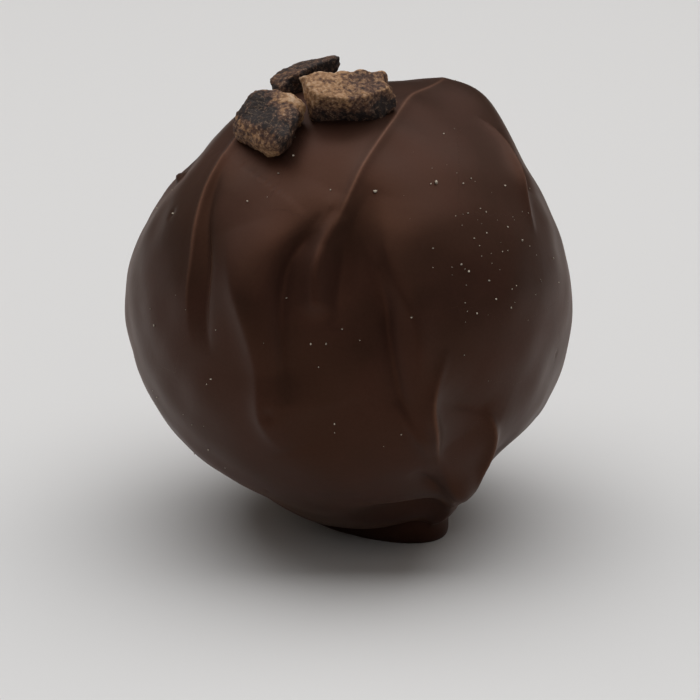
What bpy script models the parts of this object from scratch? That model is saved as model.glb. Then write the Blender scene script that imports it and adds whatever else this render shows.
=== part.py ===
"""Nougat praline: a hand-dipped ball of dark chocolate with three cocoa nibs on top.

The coat is given by its distance from the ball's centre in each direction: broad
lobes, draped folds with a rounded crest, creases beside them, and the foot of
chocolate that it set on. A direction is a longitude and a latitude in degrees:
longitude 0 is the front (-Y), 90 is +X and -90 is -X, and latitude 90 is straight up.
Lengths are in millimetres, up to the point where a mesh is made from them.
"""

from typing import NamedTuple

import bpy
import numpy as np

MM = 0.001

# The ball and what it stands on.
BALL_RADIUS = 15.0
FLOOR_DROP = 15.1          # from the ball's centre down to the surface under it

# The foot: chocolate that ran down and set in an oval puddle.
FOOT_X = 1.2
FOOT_LENGTH = 13.2
FOOT_WIDTH = 7.0
FOOT_TURN = -41.0          # degrees, its long way runs from back left to front right
FOOT_ROUNDING = 0.7

# The uneven skin of a coat that was dipped by hand.
SWELL_SIZE = 9.0           # length of the long waves
SWELL_HEIGHT = 0.07
RIPPLE_SIZE = 3.5
RIPPLE_HEIGHT = 0.03
WAVE_COUNT = 12

# A fold's crest carries a narrow bead.
BEAD_WIDTH = 0.32
BEAD_FULL_HEIGHT = 1.5     # the fold height at which the bead is whole

# Nibs: broken pieces of roasted cocoa bean.
NIB_GAP = 0.3              # clear space between a nib and the coat
NIB_SIDE_TILT = 0.13       # how far a nib's six sides lean, as a slope
NIB_BREAKS = 9             # broken faces on each nib, besides its six sides
NIB_UNDERCUT = 0.25        # how far its four upright sides lean in below, as a slope
NIB_CRAG_SIZE = 1.3
NIB_CRAG = 0.035           # share of a nib's radius

# How finely each form is worked out, and the triangles that are kept. The coat's rows
# are counts for bands of latitude, close together around the foot's wall.
COAT_COLUMNS = 360
COAT_BANDS = ((-90.0, -76.0, 10), (-76.0, -58.0, 60), (-58.0, 90.0, 130))
COAT_TRIANGLES = 9800
NIB_COLUMNS = 72
NIB_BANDS = ((-90.0, 90.0, 36),)
NIB_TRIANGLES = 800


class Lobe(NamedTuple):
    """A broad rise, or a hollow where height is negative."""
    lon: float
    lat: float
    height: float
    width: float
    length: float          # across the width, upwards where turn is 0
    turn: float = 0.0


class Fold(NamedTuple):
    """A ridge along a path, or a crease where its heights are negative.

    Left and right are the reach of its two flanks, seen from outside the ball with the
    path running down. The shares scale the left flank along the way.
    """
    path: tuple
    heights: tuple
    left: float
    right: float
    rounding: float = 0.3
    bead: float = 0.0
    left_shares: tuple = (1.0, 1.0)


class Nib(NamedTuple):
    name: str
    lon: float
    lat: float
    lift: float            # of its middle above the plain ball
    size: tuple            # along, across and through
    edge: float            # power that rounds its edges: higher is sharper
    turn: float            # degrees about the outward direction, from east
    pitch: float           # degrees, its far end raised
    seed: int
    colour: tuple
    dents: tuple           # hollows, in directions from the nib's own middle


LOBES = (
    Lobe(119, 55, 1.85, 4.4, 3.4),           # shoulder at the back right
    Lobe(-102, 38, -1.0, 4.5, 4.0),          # flat side above the left
    Lobe(-93, 38.5, 0.5, 0.45, 0.5),         # small nub on it
    Lobe(-54, -55, -1.2, 6.5, 4.5),          # drawn in low on the left
    Lobe(-76, -32, -0.45, 5.0, 4.0),
    Lobe(66, -42, -1.8, 3.4, 3.4),           # drawn in low on the right
    Lobe(66, -10, -0.4, 6.0, 6.0),
    Lobe(-7, 0, -0.9, 3.4, 5.5, 10),         # sunk middle of the front
    Lobe(3, 24, -0.25, 1.8, 4.0, 10),        # hollow beside the finger
    Lobe(-28, 23, 0.35, 3.0, 5.0),           # belly of the big lobe
    Lobe(44, 24, 0.25, 5.0, 5.0),            # right dome
    Lobe(31, -14, -0.2, 1.6, 2.4),           # scoop between the low folds
    Lobe(33, -34, 0.7, 1.5, 1.1),            # foot of the scoop, where the web spreads
    Lobe(50, -30, -0.5, 1.4, 2.0),           # drawn in beside it
    Lobe(24, -49, -1.4, 3.2, 1.6),           # recess over the foot
    Lobe(0, -27, 0.3, 5.0, 3.5),             # low dome
    Lobe(-20, -8.5, -0.22, 0.4, 0.45),       # pinch at the end of the big lobe
    Lobe(178, -12, 0.4, 7.0, 6.0),           # belly at the back
    Lobe(-140, -2, -0.5, 3.5, 6.0, -8),
    Lobe(146, 8, -0.4, 3.0, 6.0, 8),
)

FOLDS = (
    # Left drape and the crease that runs down beside it.
    Fold(((-150, 72), (-62, 57.5), (-53.5, 40.5), (-47.8, 26), (-45, 14), (-42, 3)),
         (0.0, 0.55, 0.65, 0.65, 0.35, 0.0), 3.2, 1.1, 0.15, 0.2),
    Fold(((-56, 52), (-49, 38), (-41.5, 25), (-39, 14), (-36, 4)),
         (0.0, -0.35, -0.6, -0.45, 0.0), 1.0, 0.35, 0.2),
    # Rounded left edge of the big lobe, down to the low dome.
    Fold(((-38, 35), (-31, 24), (-25.3, 13), (-22.5, 3), (-21.5, -10), (-17.5, -20)),
         (0.0, 0.4, 0.6, 0.6, 0.8, 0.0), 0.7, 2.2, 0.4),
    # Right edge of the big lobe, and the crease under it.
    Fold(((-4, 48), (-10, 40), (-16, 35), (-19.5, 26), (-19.5, 16), (-18, 2)),
         (0.0, 0.4, 0.65, 0.65, 0.4, 0.0), 3.0, 0.5, 0.2),
    Fold(((-6, 44), (-13, 37), (-17.5, 30), (-18.5, 20), (-17, 7), (-15.5, -6)),
         (0.0, -0.6, -0.9, -0.8, -0.4, 0.0), 0.45, 0.6, 0.4),
    # Long drape from the back over the top, its finger, and the crease on its right.
    Fold(((160, 48), (124, 63), (80, 74.5), (28, 68.5), (6, 55.5), (-2, 44), (-7, 34)),
         (0.0, 0.2, 0.5, 0.6, 0.55, 0.5, 0.0), 4.0, 1.7, 0.15, 0.22, (1.0, 1.0, 1.0, 0.6, 0.3, 0.16)),
    Fold(((-3.2, 42.5), (-7.4, 35), (-9, 28), (-8.7, 21)), (0.0, 0.6, 0.95, 0.95), 0.35, 0.35, 2.5),
    Fold(((9, 50), (2, 41), (-1.6, 32), (-3.2, 24), (-3.5, 14)),
         (0.0, -0.25, -0.55, -0.6, 0.0), 0.5, 1.1, 0.4),
    # Left shoulder of the right dome, and the crease along it.
    Fold(((12, 47), (10.5, 34), (12.5, 24), (15.7, 15), (16.5, 5), (15.5, -6)),
         (0.0, 0.25, 0.5, 0.7, 0.45, 0.0), 0.5, 1.7, 0.35),
    Fold(((7.5, 26.5), (9.9, 20), (10.6, 10), (12.7, -3), (17.5, -16)),
         (-0.2, -0.85, -0.7, -0.45, 0.0), 0.9, 0.35, 0.25),
    # The two low folds on either side of the scoop, and the overhang above it.
    Fold(((24.5, 8), (21.5, 0), (20.3, -7), (21.5, -14), (26, -30)),
         (0.0, 0.3, 0.85, 0.3, 0.0), 0.6, 0.6, 0.2, 0.2),
    Fold(((37, -10), (40, -17.5), (40.5, -26), (37, -36)), (0.0, 0.5, 0.5, 0.0), 0.5, 0.5, 0.2, 0.2),
    Fold(((22, -3.5), (28, -8), (35, -11), (42, -15)), (0.0, -0.28, -0.22, 0.0), 0.3, 1.2, 0.3),
    # Web that hangs from them down to the foot, and the nick at its top.
    Fold(((24, -20), (32, -37), (42, -50), (46, -60)), (0.0, 0.95, 1.2, 0.8), 0.45, 2.4, 0.3),
    Fold(((17, -26), (25, -32), (34, -38.5)), (0.0, -0.6, -0.3), 0.5, 0.35, 0.25),
    Fold(((11.5, -5), (15, -12), (19.5, -19), (24, -29)), (0.0, 0.35, 0.2, 0.0), 0.3, 0.5, 0.25),
    # Fold in front of the shoulder, and the crease behind it.
    Fold(((92, 58), (84, 50.5), (77, 45), (71, 39), (64, 28)),
         (0.0, 0.5, 0.75, 0.35, 0.0), 0.8, 0.35, 0.15, 0.2),
    Fold(((95, 52), (88.5, 48), (82.5, 43), (77, 37)), (0.0, -0.6, -0.7, 0.0), 0.35, 0.6, 0.3),
    # Drapes down the back.
    Fold(((-148, 62), (-160, 34), (-168, 2), (-166, -30)), (0.0, 0.6, 0.5, 0.0), 0.6, 2.8, 0.3, 0.15),
    Fold(((-155, 48), (-164, 22), (-171, -8)), (0.0, -0.5, 0.0), 0.8, 0.6, 0.4),
    Fold(((-104, 52), (-113, 26), (-119, 0), (-117, -28)), (0.0, 0.5, 0.5, 0.0), 0.7, 2.4, 0.3, 0.15),
    Fold(((155, 44), (139, 24), (130, 0), (127, -30)), (0.0, 0.6, 0.5, 0.0), 2.6, 0.6, 0.3, 0.15),
    Fold(((146, 34), (134, 14), (126, -8)), (0.0, -0.45, 0.0), 0.6, 0.8, 0.4),
    Fold(((104, 14), (101, -10), (98, -36)), (0.0, 0.4, 0.0), 0.8, 1.6, 0.4, 0.08),
)

NIBS = (
    Nib("nib_left", -50, 64, 1.0, (4.5, 4.1, 3.5), 6, 10, -10, 6, (0.085, 0.045, 0.028, 1.0),
        (Lobe(-31, 51, -0.5, 1.5, 1.2), Lobe(67, 1, -0.4, 0.6, 0.9))),
    Nib("nib_right", 1, 77.5, 1.1, (5.9, 3.2, 2.5), 20, 12, -7, 12, (0.16, 0.095, 0.055, 1.0),
        (Lobe(60, 50, -0.12, 0.4, 1.6), Lobe(100, 20, -0.6, 0.8, 0.8))),
    Nib("nib_back", -118, 77, 0.9, (6.3, 2.0, 1.8), 5, 160, 9, 23, (0.06, 0.04, 0.032, 1.0),
        (Lobe(-40, 55, -0.15, 0.6, 0.6),)),
)

CHOCOLATE = (0.045, 0.019, 0.010, 1.0)
CHOCOLATE_ROUGHNESS = 0.38
NIB_ROUGHNESS = 0.85


def clear_scene():
    for obj in list(bpy.data.objects):
        bpy.data.objects.remove(obj, do_unlink=True)


def direction(lon, lat):
    """Unit vectors for longitudes and latitudes in degrees."""
    lon, lat = np.radians(lon), np.radians(lat)
    return np.stack([np.sin(lon) * np.cos(lat), -np.cos(lon) * np.cos(lat), np.sin(lat)], -1)


def tangents(normal):
    """The directions due east and due north on the ball at one direction."""
    east = np.cross([0.0, 0.0, 1.0], normal)
    east /= np.linalg.norm(east)
    return east, np.cross(normal, east)


def spline(values, steps):
    """A Catmull-Rom curve through rows of values, read at steps from 0 to 1."""
    values = np.asarray(values, float)
    values = np.concatenate([2 * values[:1] - values[1:2], values, 2 * values[-1:] - values[-2:-1]])
    place = np.clip(steps, 0.0, 1.0) * (len(values) - 3)
    first = np.minimum(place.astype(int), len(values) - 4)
    t = (place - first).reshape((-1,) + (1,) * (values.ndim - 1))
    a, b, c, d = (values[first + k] for k in range(4))
    cubic = 3 * b - a - 3 * c + d
    return 0.5 * (2 * b + (c - a) * t + (2 * a - 5 * b + 4 * c - d) * t**2 + cubic * t**3)


def fold_line(path, points_per_span=8):
    """The fold's path as points on the unit ball."""
    steps = np.linspace(0.0, 1.0, points_per_span * (len(path) - 1) + 1)
    line = spline(direction(*np.array(path, float).T), steps)
    return line / np.linalg.norm(line, axis=1, keepdims=True)


def nearest_on_line(line, directions):
    """For each direction, how far along the line its nearest point is (0 to 1), and
    how far it lies from the line in millimetres, positive on the line's right."""
    start, end = line[:-1], line[1:]
    step = end - start
    length = np.linalg.norm(step, axis=1)
    travelled = np.concatenate([[0.0], np.cumsum(length)])
    along = (directions @ step.T - (start * step).sum(1)) / length**2
    along = np.clip(along, 0.0, 1.0)
    reach = directions @ start.T + along * (directions @ step.T)
    near = (start * start).sum(1) + 2 * along * (start * step).sum(1) + (along * length)**2
    gap_squared = np.maximum(1.0 + near - 2 * reach, 0.0)
    span = gap_squared.argmin(1)
    rows = np.arange(len(directions))
    side = np.sign((directions * np.cross(start, end)[span]).sum(1))
    share = (travelled[span] + along[rows, span] * length[span]) / travelled[-1]
    return share, np.sqrt(gap_squared[rows, span]) * side * BALL_RADIUS


def fold_height(fold, directions):
    """Height falls off on both flanks as exp(-distance / reach), rounded at the crest,
    with a narrow bead on top."""
    share, offset = nearest_on_line(fold_line(fold.path), directions)
    left = fold.left * spline(fold.left_shares, share)
    reach = np.where(offset > 0.0, fold.right, left)
    fall = np.sqrt((offset / reach)**2 + fold.rounding**2) - fold.rounding
    height = spline(fold.heights, share)
    bead = fold.bead * height / BEAD_FULL_HEIGHT * np.exp(-(offset / BEAD_WIDTH)**2)
    return height * np.exp(-fall) + bead


def lobe_height(lobe, directions, radius=BALL_RADIUS):
    """A bell-shaped rise, width and length being where it has fallen to 37%."""
    middle = direction(lobe.lon, lobe.lat)
    east, north = tangents(middle)
    turn = np.radians(lobe.turn)
    across = np.cos(turn) * east + np.sin(turn) * north
    up = np.cos(turn) * north - np.sin(turn) * east
    x = directions @ across * radius / lobe.width
    y = directions @ up * radius / lobe.length
    same_side = np.clip(directions @ middle * 4.0, 0.0, 1.0)
    return lobe.height * np.exp(-(x * x + y * y)) * same_side


def waves(points, size, seed):
    """Smooth random waves of about one length, between about -2 and 2."""
    random = np.random.default_rng(seed)
    heading = random.normal(size=(WAVE_COUNT, 3))
    heading /= np.linalg.norm(heading, axis=1, keepdims=True)
    heading *= 2 * np.pi / size * random.uniform(0.7, 1.3, (WAVE_COUNT, 1))
    phase = random.uniform(0.0, 2 * np.pi, WAVE_COUNT)
    return np.sin(points @ heading.T + phase).sum(1) / np.sqrt(WAVE_COUNT)


def blended_max(a, b, rounding):
    near = np.maximum(rounding - np.abs(a - b), 0.0) / rounding
    return np.maximum(a, b) + near**2 * rounding / 4


def blended_min(a, b, rounding):
    return -blended_max(-a, -b, rounding)


def foot_distances(directions):
    """Distance to the floor, and to the foot's oval upright wall, in each direction."""
    down = np.maximum(-directions[:, 2], 1e-6)
    floor = FLOOR_DROP / down
    turn = np.radians(FOOT_TURN)
    half_size = np.array([FOOT_LENGTH, FOOT_WIDTH]) / 2
    to_oval = np.array([[np.cos(turn), np.sin(turn)], [-np.sin(turn), np.cos(turn)]]) / half_size[:, None]
    run = directions[:, :2] @ to_oval.T
    middle = to_oval @ [FOOT_X, 0.0]
    steep = (run * run).sum(1) + 1e-12
    ahead = run @ middle
    wall = (ahead + np.sqrt(np.maximum(ahead**2 - steep * (middle @ middle - 1.0), 0.0))) / steep
    below = directions[:, 2] < -0.3
    return np.where(below, floor, 3 * BALL_RADIUS), np.where(below, np.minimum(wall, 3 * BALL_RADIUS), 0.0)


def coat_radius(directions):
    """Distance from the ball's centre to the coat's surface in each direction."""
    radius = np.full(len(directions), BALL_RADIUS)
    radius += SWELL_HEIGHT * waves(directions * BALL_RADIUS, SWELL_SIZE, 1)
    radius += RIPPLE_HEIGHT * waves(directions * BALL_RADIUS, RIPPLE_SIZE, 2)
    for lobe in LOBES:
        radius += lobe_height(lobe, directions)
    for fold in FOLDS:
        radius += fold_height(fold, directions)
    floor, wall = foot_distances(directions)
    radius = blended_max(radius, blended_min(floor, wall, FOOT_ROUNDING), FOOT_ROUNDING)
    return np.minimum(radius, floor)


def globe(columns, bands):
    """Directions on a grid with one point at each pole, and the faces that join them."""
    lon = np.arange(columns) * 360.0 / columns
    lat = np.concatenate([np.linspace(low, high, count, endpoint=False) for low, high, count in bands])[1:]
    rows = len(lat)
    grid = direction(*(angle.ravel() for angle in np.meshgrid(lon, lat)))
    directions = np.concatenate([grid, [[0.0, 0.0, -1.0], [0.0, 0.0, 1.0]]])
    here = np.arange(columns)
    after = (here + 1) % columns
    row = np.arange(rows - 1)[:, None] * columns
    corners = np.stack([row + here, row + after, row + columns + after, row + columns + here], -1)
    south, north, last = rows * columns, rows * columns + 1, (rows - 1) * columns
    fan_south = np.stack([np.full(columns, south), after, here], -1)
    fan_north = np.stack([np.full(columns, north), last + here, last + after], -1)
    return directions, corners.reshape(-1, 4).tolist() + fan_south.tolist() + fan_north.tolist()


def material(name, colour, roughness):
    made = bpy.data.materials.new(name)
    made.use_nodes = True
    shader = made.node_tree.nodes["Principled BSDF"]
    shader.inputs["Base Color"].default_value = colour
    shader.inputs["Roughness"].default_value = roughness
    shader.inputs["Metallic"].default_value = 0.0
    made.diffuse_color = colour
    return made


def slimmed_mesh(name, points, faces, triangles):
    """A mesh of the points, in metres, with flat stretches joined until few triangles are left."""
    fine = bpy.data.meshes.new(name)
    fine.from_pydata((points * MM).tolist(), [], faces)
    carrier = bpy.data.objects.new(name, fine)
    bpy.context.scene.collection.objects.link(carrier)
    carrier.modifiers.new("triangles", "TRIANGULATE")
    slim = carrier.modifiers.new("slim", "DECIMATE")
    slim.ratio = triangles / sum(len(face) - 2 for face in faces)
    kept = bpy.data.meshes.new_from_object(carrier.evaluated_get(bpy.context.evaluated_depsgraph_get()))
    bpy.data.objects.remove(carrier)
    bpy.data.meshes.remove(fine)
    kept.name = name
    kept.shade_smooth()
    return kept


def add_piece(name, mesh, location, surface):
    """An object for one piece, its middle at a place in millimetres from the ball's centre."""
    mesh.materials.append(surface)
    piece = bpy.data.objects.new(name, mesh)
    piece.location = np.asarray(location, float) * MM
    bpy.context.scene.collection.objects.link(piece)
    return piece


def make_coat():
    directions, faces = globe(COAT_COLUMNS, COAT_BANDS)
    points = directions * coat_radius(directions)[:, None]
    mesh = slimmed_mesh("coat", points, faces, COAT_TRIANGLES)
    floor = -FLOOR_DROP * MM
    for vertex in mesh.vertices:
        if vertex.co.z < floor + 1e-6:
            vertex.co.z = floor
    return add_piece("coat", mesh, (0, 0, 0), material("dark_chocolate", CHOCOLATE, CHOCOLATE_ROUGHNESS))


def nib_axes(nib):
    """The nib's own along, across and outward directions."""
    outward = direction(nib.lon, nib.lat)
    east, north = tangents(outward)
    turn, pitch = np.radians([nib.turn, nib.pitch])
    along = np.cos(turn) * east + np.sin(turn) * north
    across = np.cross(outward, along)
    raised = np.cos(pitch) * along + np.sin(pitch) * outward
    return np.stack([raised, across, np.cross(raised, across)])


def nib_radius(nib, directions):
    """A block with tilted sides and broken corners: the nearest of its planes in each
    direction, with rounded edges, less its dents, and small crags all over."""
    random = np.random.default_rng(nib.seed)
    half = np.array(nib.size) / 2
    sides = np.concatenate([np.eye(3), -np.eye(3)]) + random.normal(size=(6, 3)) * NIB_SIDE_TILT
    breaks = random.normal(size=(NIB_BREAKS, 3))
    sides[[0, 1, 3, 4], 2] -= NIB_UNDERCUT
    normals = np.concatenate([sides, breaks])
    normals /= np.linalg.norm(normals, axis=1, keepdims=True)
    corner = np.abs(normals) @ half
    waist = np.linalg.norm(normals * half, axis=1)
    share = np.concatenate([np.zeros(6), random.uniform(0.1, 0.45, NIB_BREAKS)])
    distance = waist + share * (corner - waist)
    facing = np.maximum(directions @ nib_axes(nib).T @ normals.T, 0.0) / distance
    radius = (facing**nib.edge).sum(1)**(-1 / nib.edge)
    for dent in nib.dents:
        radius += lobe_height(dent, directions, half.mean())
    return radius * (1.0 + NIB_CRAG * waves(directions * radius[:, None], NIB_CRAG_SIZE, nib.seed))


def make_nib(nib):
    """The nib stands on the coat: its underside follows the coat at an even gap."""
    directions, faces = globe(NIB_COLUMNS, NIB_BANDS)
    middle = direction(nib.lon, nib.lat) * (BALL_RADIUS + nib.lift)
    points = middle + directions * nib_radius(nib, directions)[:, None]
    distance = np.linalg.norm(points, axis=1)
    outward = points / distance[:, None]
    points = outward * np.maximum(distance, coat_radius(outward) + NIB_GAP)[:, None]
    mesh = slimmed_mesh(nib.name, points - middle, faces, NIB_TRIANGLES)
    return add_piece(nib.name, mesh, middle, material(nib.name, nib.colour, NIB_ROUGHNESS))


def stand_on_origin(pieces):
    """Parent the pieces to one empty, so that the middle of the praline's box is over the
    world's origin and its foot stands at height 0."""
    corners = [piece.location + vertex.co for piece in pieces for vertex in piece.data.vertices]
    low, high = np.min(corners, axis=0), np.max(corners, axis=0)
    praline = bpy.data.objects.new("praline", None)
    praline.location = (-(low[0] + high[0]) / 2, -(low[1] + high[1]) / 2, FLOOR_DROP * MM)
    bpy.context.scene.collection.objects.link(praline)
    for piece in pieces:
        piece.parent = praline


def main():
    clear_scene()
    pieces = [make_coat()] + [make_nib(nib) for nib in NIBS]
    bpy.context.view_layer.update()
    stand_on_origin(pieces)
    bpy.context.view_layer.update()


main()
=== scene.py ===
"""Nougat praline: the finished looks of a hand-dipped ball of dark chocolate.

The coat's radius, from the ball's centre, is a function of longitude and latitude:
broad lobes, folds with a rounded crest, creases, and the foot that it set on.
Longitude 0 is the front (-Y), 90 is +X and -90 is -X; latitude 90 is straight up.
Forms are in millimetres, up to the point where a mesh is made from them.
"""

from typing import NamedTuple

import bpy
import numpy as np
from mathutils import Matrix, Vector


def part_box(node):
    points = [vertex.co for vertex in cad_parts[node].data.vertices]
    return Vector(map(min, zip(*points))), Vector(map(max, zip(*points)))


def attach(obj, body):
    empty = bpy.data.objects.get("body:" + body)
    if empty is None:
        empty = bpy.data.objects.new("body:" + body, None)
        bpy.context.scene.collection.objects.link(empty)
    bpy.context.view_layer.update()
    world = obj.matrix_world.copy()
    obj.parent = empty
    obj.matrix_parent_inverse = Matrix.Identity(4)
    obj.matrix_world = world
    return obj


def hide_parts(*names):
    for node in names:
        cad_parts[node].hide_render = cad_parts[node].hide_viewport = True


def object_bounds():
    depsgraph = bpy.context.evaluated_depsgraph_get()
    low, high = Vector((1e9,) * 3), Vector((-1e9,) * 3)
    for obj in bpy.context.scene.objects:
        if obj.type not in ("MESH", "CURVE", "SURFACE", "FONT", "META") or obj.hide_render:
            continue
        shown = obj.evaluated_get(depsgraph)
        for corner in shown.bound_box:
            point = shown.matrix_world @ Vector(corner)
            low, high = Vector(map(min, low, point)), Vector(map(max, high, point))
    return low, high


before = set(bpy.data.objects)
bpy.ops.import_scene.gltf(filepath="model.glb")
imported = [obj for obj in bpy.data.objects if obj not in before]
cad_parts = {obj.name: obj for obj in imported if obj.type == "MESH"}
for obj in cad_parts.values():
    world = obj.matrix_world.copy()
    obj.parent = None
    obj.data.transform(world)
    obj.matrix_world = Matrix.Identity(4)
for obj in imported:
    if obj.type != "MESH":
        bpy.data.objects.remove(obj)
cad_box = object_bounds()

bl_info = {
    "name": "Nougat praline",
    "version": (1, 0, 0),
    "blender": (4, 5, 0),
    "location": "3D View > Sidebar > Praline",
    "description": "Builds a dark chocolate praline with folds in its coat and cocoa nibs on top",
    "category": "Add Mesh",
}

MM = 0.001
BODY = "root"

# The coat.
FLOOR_DROP = 15.1          # from the ball's centre down to the surface under it
FOOT_X = 1.2               # how far the foot's middle lies to the right of the ball's
FOOT_TURN = -41.0          # degrees, its long way runs from back left to front right
FOOT_ROUNDING = 0.7        # of the hollow where the coat runs out into the foot
FOOT_TOP = -0.3            # a unit direction has to point down this far to meet the foot
SWELL_SIZE = 9.0           # from crest to crest of the long waves
RIPPLE_SIZE = 3.5          # and of the short ones
SWELL_SEED = 1
RIPPLE_SEED = 2
WAVE_COUNT = 12            # plane waves in one pattern
WAVE_SPREAD = (0.7, 1.3)   # how much shorter or longer than their size they come
SIDE_FADE = 4.0            # how fast a lobe ends towards the far side of the ball
BEAD_WIDTH = 0.32          # of the narrow bead on a crest, from its middle
BEAD_FULL_HEIGHT = 1.5     # the fold height at which the bead is whole
LARGEST_BEAD = 0.22        # the bead whose painted crest highlight is at its strongest
CREST_REACH = 1.0          # how far from a crest its painted highlight is still worked out
CREST_HIGHLIGHT_WIDTH = 0.12    # of the thin, lighter line along a crest: a painted highlight
CREST_HIGHLIGHT_HEIGHTS = (0.15, 0.6)    # where the painted highlight starts and is whole

# The nibs.
NIB_SIDE_TILT = 0.13       # how far its six sides lean at random, as a slope
NIB_UNDERCUT = 0.25        # how far its four upright sides lean in below, as a slope
NIB_BREAKS = 9             # random broken faces across its corners and edges
BREAK_SHARES = (0.1, 0.45)          # where they cut, from its waist at 0 to its corners at 1
NIB_SINK = 0.12            # how deep a nib is pressed into the coat
NIB_CRAGS = ((1.3, 0.035), (0.5, 0.014), (0.26, 0.01))      # size, and share of the radius
# Tones run from 0, dark bean, over brown and tan to 1, pale crust.
CRAG_TONE = 0.04           # how much paler a nib is where its crags stand up
EDGE_HIGHLIGHT_TONE = 0.22            # how much paler along its edges: a painted highlight
EDGE_HIGHLIGHT_SHARPNESS = 30.0       # higher keeps that painted highlight closer to the edge
BREAK_TONE = 0.1           # how much the tones of its breaks differ
PATCH_FULLNESS = 2.0       # a patch is even where its bell times this passes 1

# The crumbs.
CRUMB_SEED = 5
DOME_CRUMBS = ((47, 14), (33, 15))  # middle and spread of their longitude and of their latitude
SPREAD_HEIGHTS = (-0.6, 0.97)       # lowest and highest of those elsewhere, from -1 to 1
CRUMB_LIFT = 0.2           # of its middle above the coat, as a share of its diameter
CRUMB_WEAR = (0.6, 1.0)    # how far out its corners stand, as a range of shares
CRUMB_SQUASH = (0.5, 1.0)  # its width each way, likewise

# Softboxes: where they stand and how large they are, in metres.
OVERHEAD_BOX = ((0.0, 0.06, 0.48), (0.8, 0.6))
FRONT_BOX = ((0.0, -0.45, 0.42), (0.8, 0.35))
LEFT_BOX = ((-0.60, 0.16, 0.34), (0.8, 0.42))
RIGHT_BOX = ((0.60, 0.20, 0.34), (0.8, 0.42))
FLOOR_SIZE = 4.0           # metres

# The camera.
VIEW_WIDTH = 47.08         # of what it sees at the ball
VIEW_DROP = 2.825          # how far the middle of that lies below the ball's

# Numbers of the inputs of Map Range and of Mix, and of the colour that Mix puts out.
FROM_LOW, FROM_HIGH, TO_LOW, TO_HIGH = 1, 2, 3, 4
MIX_SHARE, MIX_UNDER, MIX_OVER = 0, 6, 7
MIXED = 2

# Columns for bands of longitude and rows for bands of latitude.
COAT_COLUMNS = ((-80.0, 100.0, 290), (100.0, 280.0, 140))
COAT_ROWS = ((-90.0, -76.0, 6), (-76.0, -68.0, 26), (-68.0, -56.0, 20), (-56.0, 90.0, 172))
FOOT_ROW = -72.0           # the row that is bent to run along the foot's edge
BEND_SHARES = ((-90.0, -80.0, -60.0, -40.0), (0.0, 1.0, 1.0, 0.0))      # latitudes, how far they bend
NIB_COLUMNS = ((0.0, 360.0, 150),)
NIB_ROWS = ((-90.0, 90.0, 90),)


class Lobe(NamedTuple):
    """A broad rise, or a hollow where height is negative."""
    lon: float
    lat: float
    height: float
    width: float
    length: float          # across the width, upwards where turn is 0
    turn: float = 0.0


class Fold(NamedTuple):
    """A ridge along a path, or a crease where its heights are negative.

    Left and right are the reach of its two flanks, seen from outside the ball with the
    path running down. The shares scale the left flank along the way.
    """
    path: tuple
    heights: tuple
    left: float
    right: float
    rounding: float = 0.3
    bead: float = 0.0
    left_shares: tuple = (1.0, 1.0)


class Nib(NamedTuple):
    """A broken piece of cocoa bean on top of the coat."""
    name: str
    lon: float
    lat: float
    lift: float            # of its middle above the plain ball
    size: tuple            # along, across and through
    edge: float            # power that rounds its edges: higher is sharper
    turn: float            # degrees about the outward direction, from east
    pitch: float           # degrees, its far end raised
    seed: int
    dents: tuple           # hollows, in directions from the nib's own middle
    tones: tuple           # of its far end, far side, top, near end, near side and underside; a darker underside is painted shade
    patches: tuple         # even patches: paler, or darker where height is negative


LOBES = (
    Lobe(119, 55, 1.85, 4.4, 3.4),           # shoulder at the back right
    Lobe(-102, 38, -1.0, 4.5, 4.0),          # flat side above the left
    Lobe(-93, 38.5, 0.5, 0.45, 0.5),         # small nub on it
    Lobe(-54, -55, -1.2, 6.5, 4.5),          # drawn in low on the left
    Lobe(-76, -32, -0.45, 5.0, 4.0),
    Lobe(66, -42, -1.8, 3.4, 3.4),           # drawn in low on the right
    Lobe(66, -10, -0.4, 6.0, 6.0),
    Lobe(-7, 0, -0.9, 3.4, 5.5, 10),         # sunk middle of the front
    Lobe(3, 24, -0.25, 1.8, 4.0, 10),        # hollow beside the finger
    Lobe(-28, 23, 0.35, 3.0, 5.0),           # belly of the big lobe
    Lobe(44, 24, 0.25, 5.0, 5.0),            # right dome
    Lobe(31, -14, -0.2, 1.6, 2.4),           # scoop between the low folds
    Lobe(33, -34, 0.7, 1.5, 1.1),            # foot of the scoop, where the web spreads
    Lobe(50, -30, -0.5, 1.4, 2.0),           # drawn in beside it
    Lobe(24, -49, -1.4, 3.2, 1.6),           # recess over the foot
    Lobe(0, -27, 0.3, 5.0, 3.5),             # low dome
    Lobe(-20, -8.5, -0.22, 0.4, 0.45),       # pinch at the end of the big lobe
    Lobe(178, -12, 0.4, 7.0, 6.0),           # belly at the back
    Lobe(-140, -2, -0.5, 3.5, 6.0, -8),
    Lobe(146, 8, -0.4, 3.0, 6.0, 8),
)

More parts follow.
